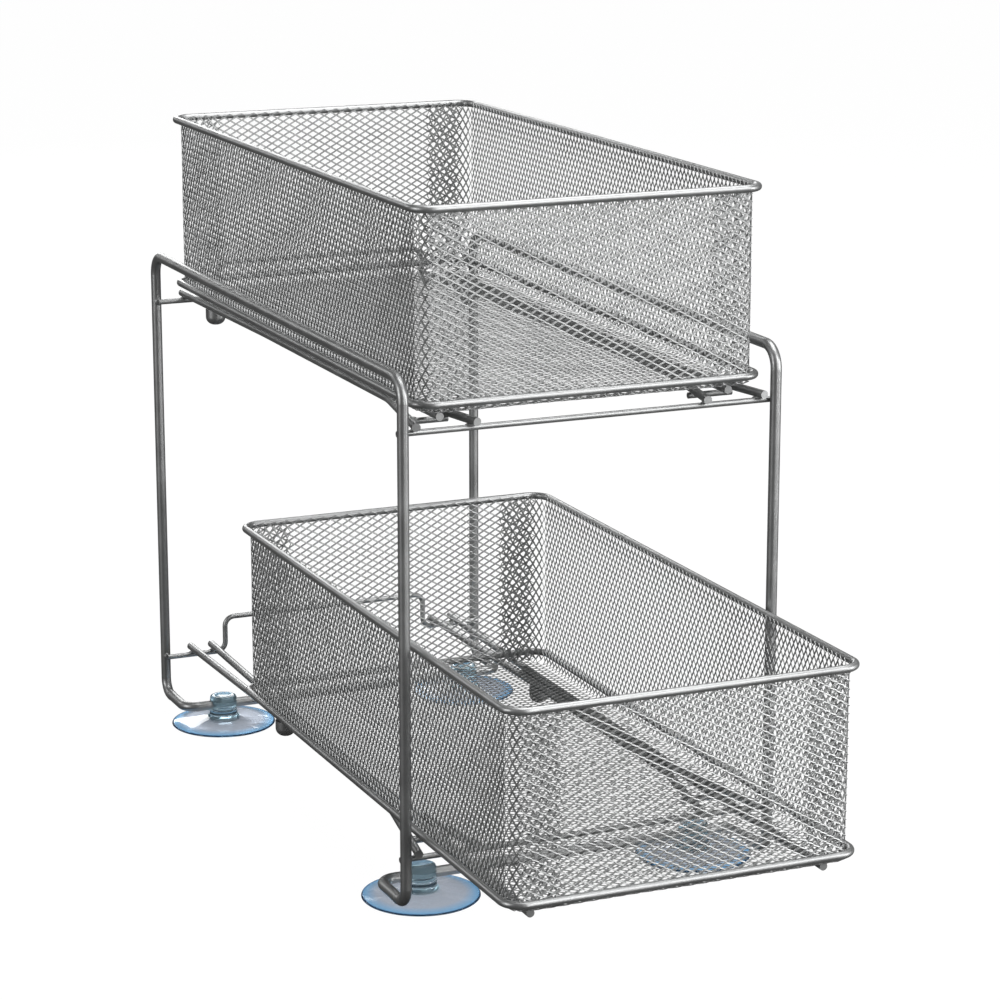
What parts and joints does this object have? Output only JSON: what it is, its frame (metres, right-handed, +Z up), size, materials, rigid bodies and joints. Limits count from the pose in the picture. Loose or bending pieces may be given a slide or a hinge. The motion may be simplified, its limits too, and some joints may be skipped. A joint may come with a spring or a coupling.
{
  "type": "pull out cabinet basket",
  "caption": "Two-tier wire rack with sliding mesh baskets on rail pairs, standing on suction-cup feet.",
  "frame": {"origin": "on the floor, under the middle of the whole part's box as shown", "axes": "+Z up, +X to the right, -Y the front, which the baskets pull out towards"},
  "size_m": [0.2286, 0.53, 0.3805],
  "materials": {
    "wire_steel": "satin silver paint",
    "mesh_steel": "satin silver paint",
    "suction_cup": "translucent soft plastic"
  },
  "bodies": {
    "rack": {"left_side_hoop": "wire_steel", "right_side_hoop": "wire_steel", "front_base_wire": "wire_steel", "rear_base_wire": "wire_steel", "front_left_cup": "suction_cup", "front_right_cup": "suction_cup", "rear_left_cup": "suction_cup", "rear_right_cup": "suction_cup", "upper_front_bar": "wire_steel", "upper_rear_wire": "wire_steel", "upper_left_outer_rail": "wire_steel", "upper_left_inner_rail": "wire_steel", "upper_left_stop_wire": "wire_steel", "upper_right_outer_rail": "wire_steel", "upper_right_inner_rail": "wire_steel", "upper_right_stop_wire": "wire_steel", "lower_front_bar": "wire_steel", "lower_rear_wire": "wire_steel", "lower_left_outer_rail": "wire_steel", "lower_left_inner_rail": "wire_steel", "lower_left_stop_wire": "wire_steel", "lower_right_outer_rail": "wire_steel", "lower_right_inner_rail": "wire_steel", "lower_right_stop_wire": "wire_steel"},
    "upper_basket": {"upper_rim_wire": "wire_steel", "upper_bottom_loop": "wire_steel", "upper_left_mesh": "mesh_steel", "upper_right_mesh": "mesh_steel", "upper_front_mesh": "mesh_steel", "upper_rear_mesh": "mesh_steel", "upper_pan_mesh": "mesh_steel", "upper_corner_wraps": "mesh_steel", "upper_left_runner": "wire_steel", "upper_right_runner": "wire_steel", "upper_left_guide": "wire_steel", "upper_right_guide": "wire_steel"},
    "lower_basket": {"lower_rim_wire": "wire_steel", "lower_bottom_loop": "wire_steel", "lower_left_mesh": "mesh_steel", "lower_right_mesh": "mesh_steel", "lower_front_mesh": "mesh_steel", "lower_rear_mesh": "mesh_steel", "lower_pan_mesh": "mesh_steel", "lower_corner_wraps": "mesh_steel", "lower_left_runner": "wire_steel", "lower_right_runner": "wire_steel", "lower_left_guide": "wire_steel", "lower_right_guide": "wire_steel"}
  },
  "joints": [
    {"name": "upper_basket_slide", "type": "slide", "parent": "rack", "child": "upper_basket", "axis": [0, -1, 0], "range_m": [0, 0.25]},
    {"name": "lower_basket_slide", "type": "slide", "parent": "rack", "child": "lower_basket", "axis": [0, -1, 0], "range_m": [-0.1148, 0.1352]}
  ]
}
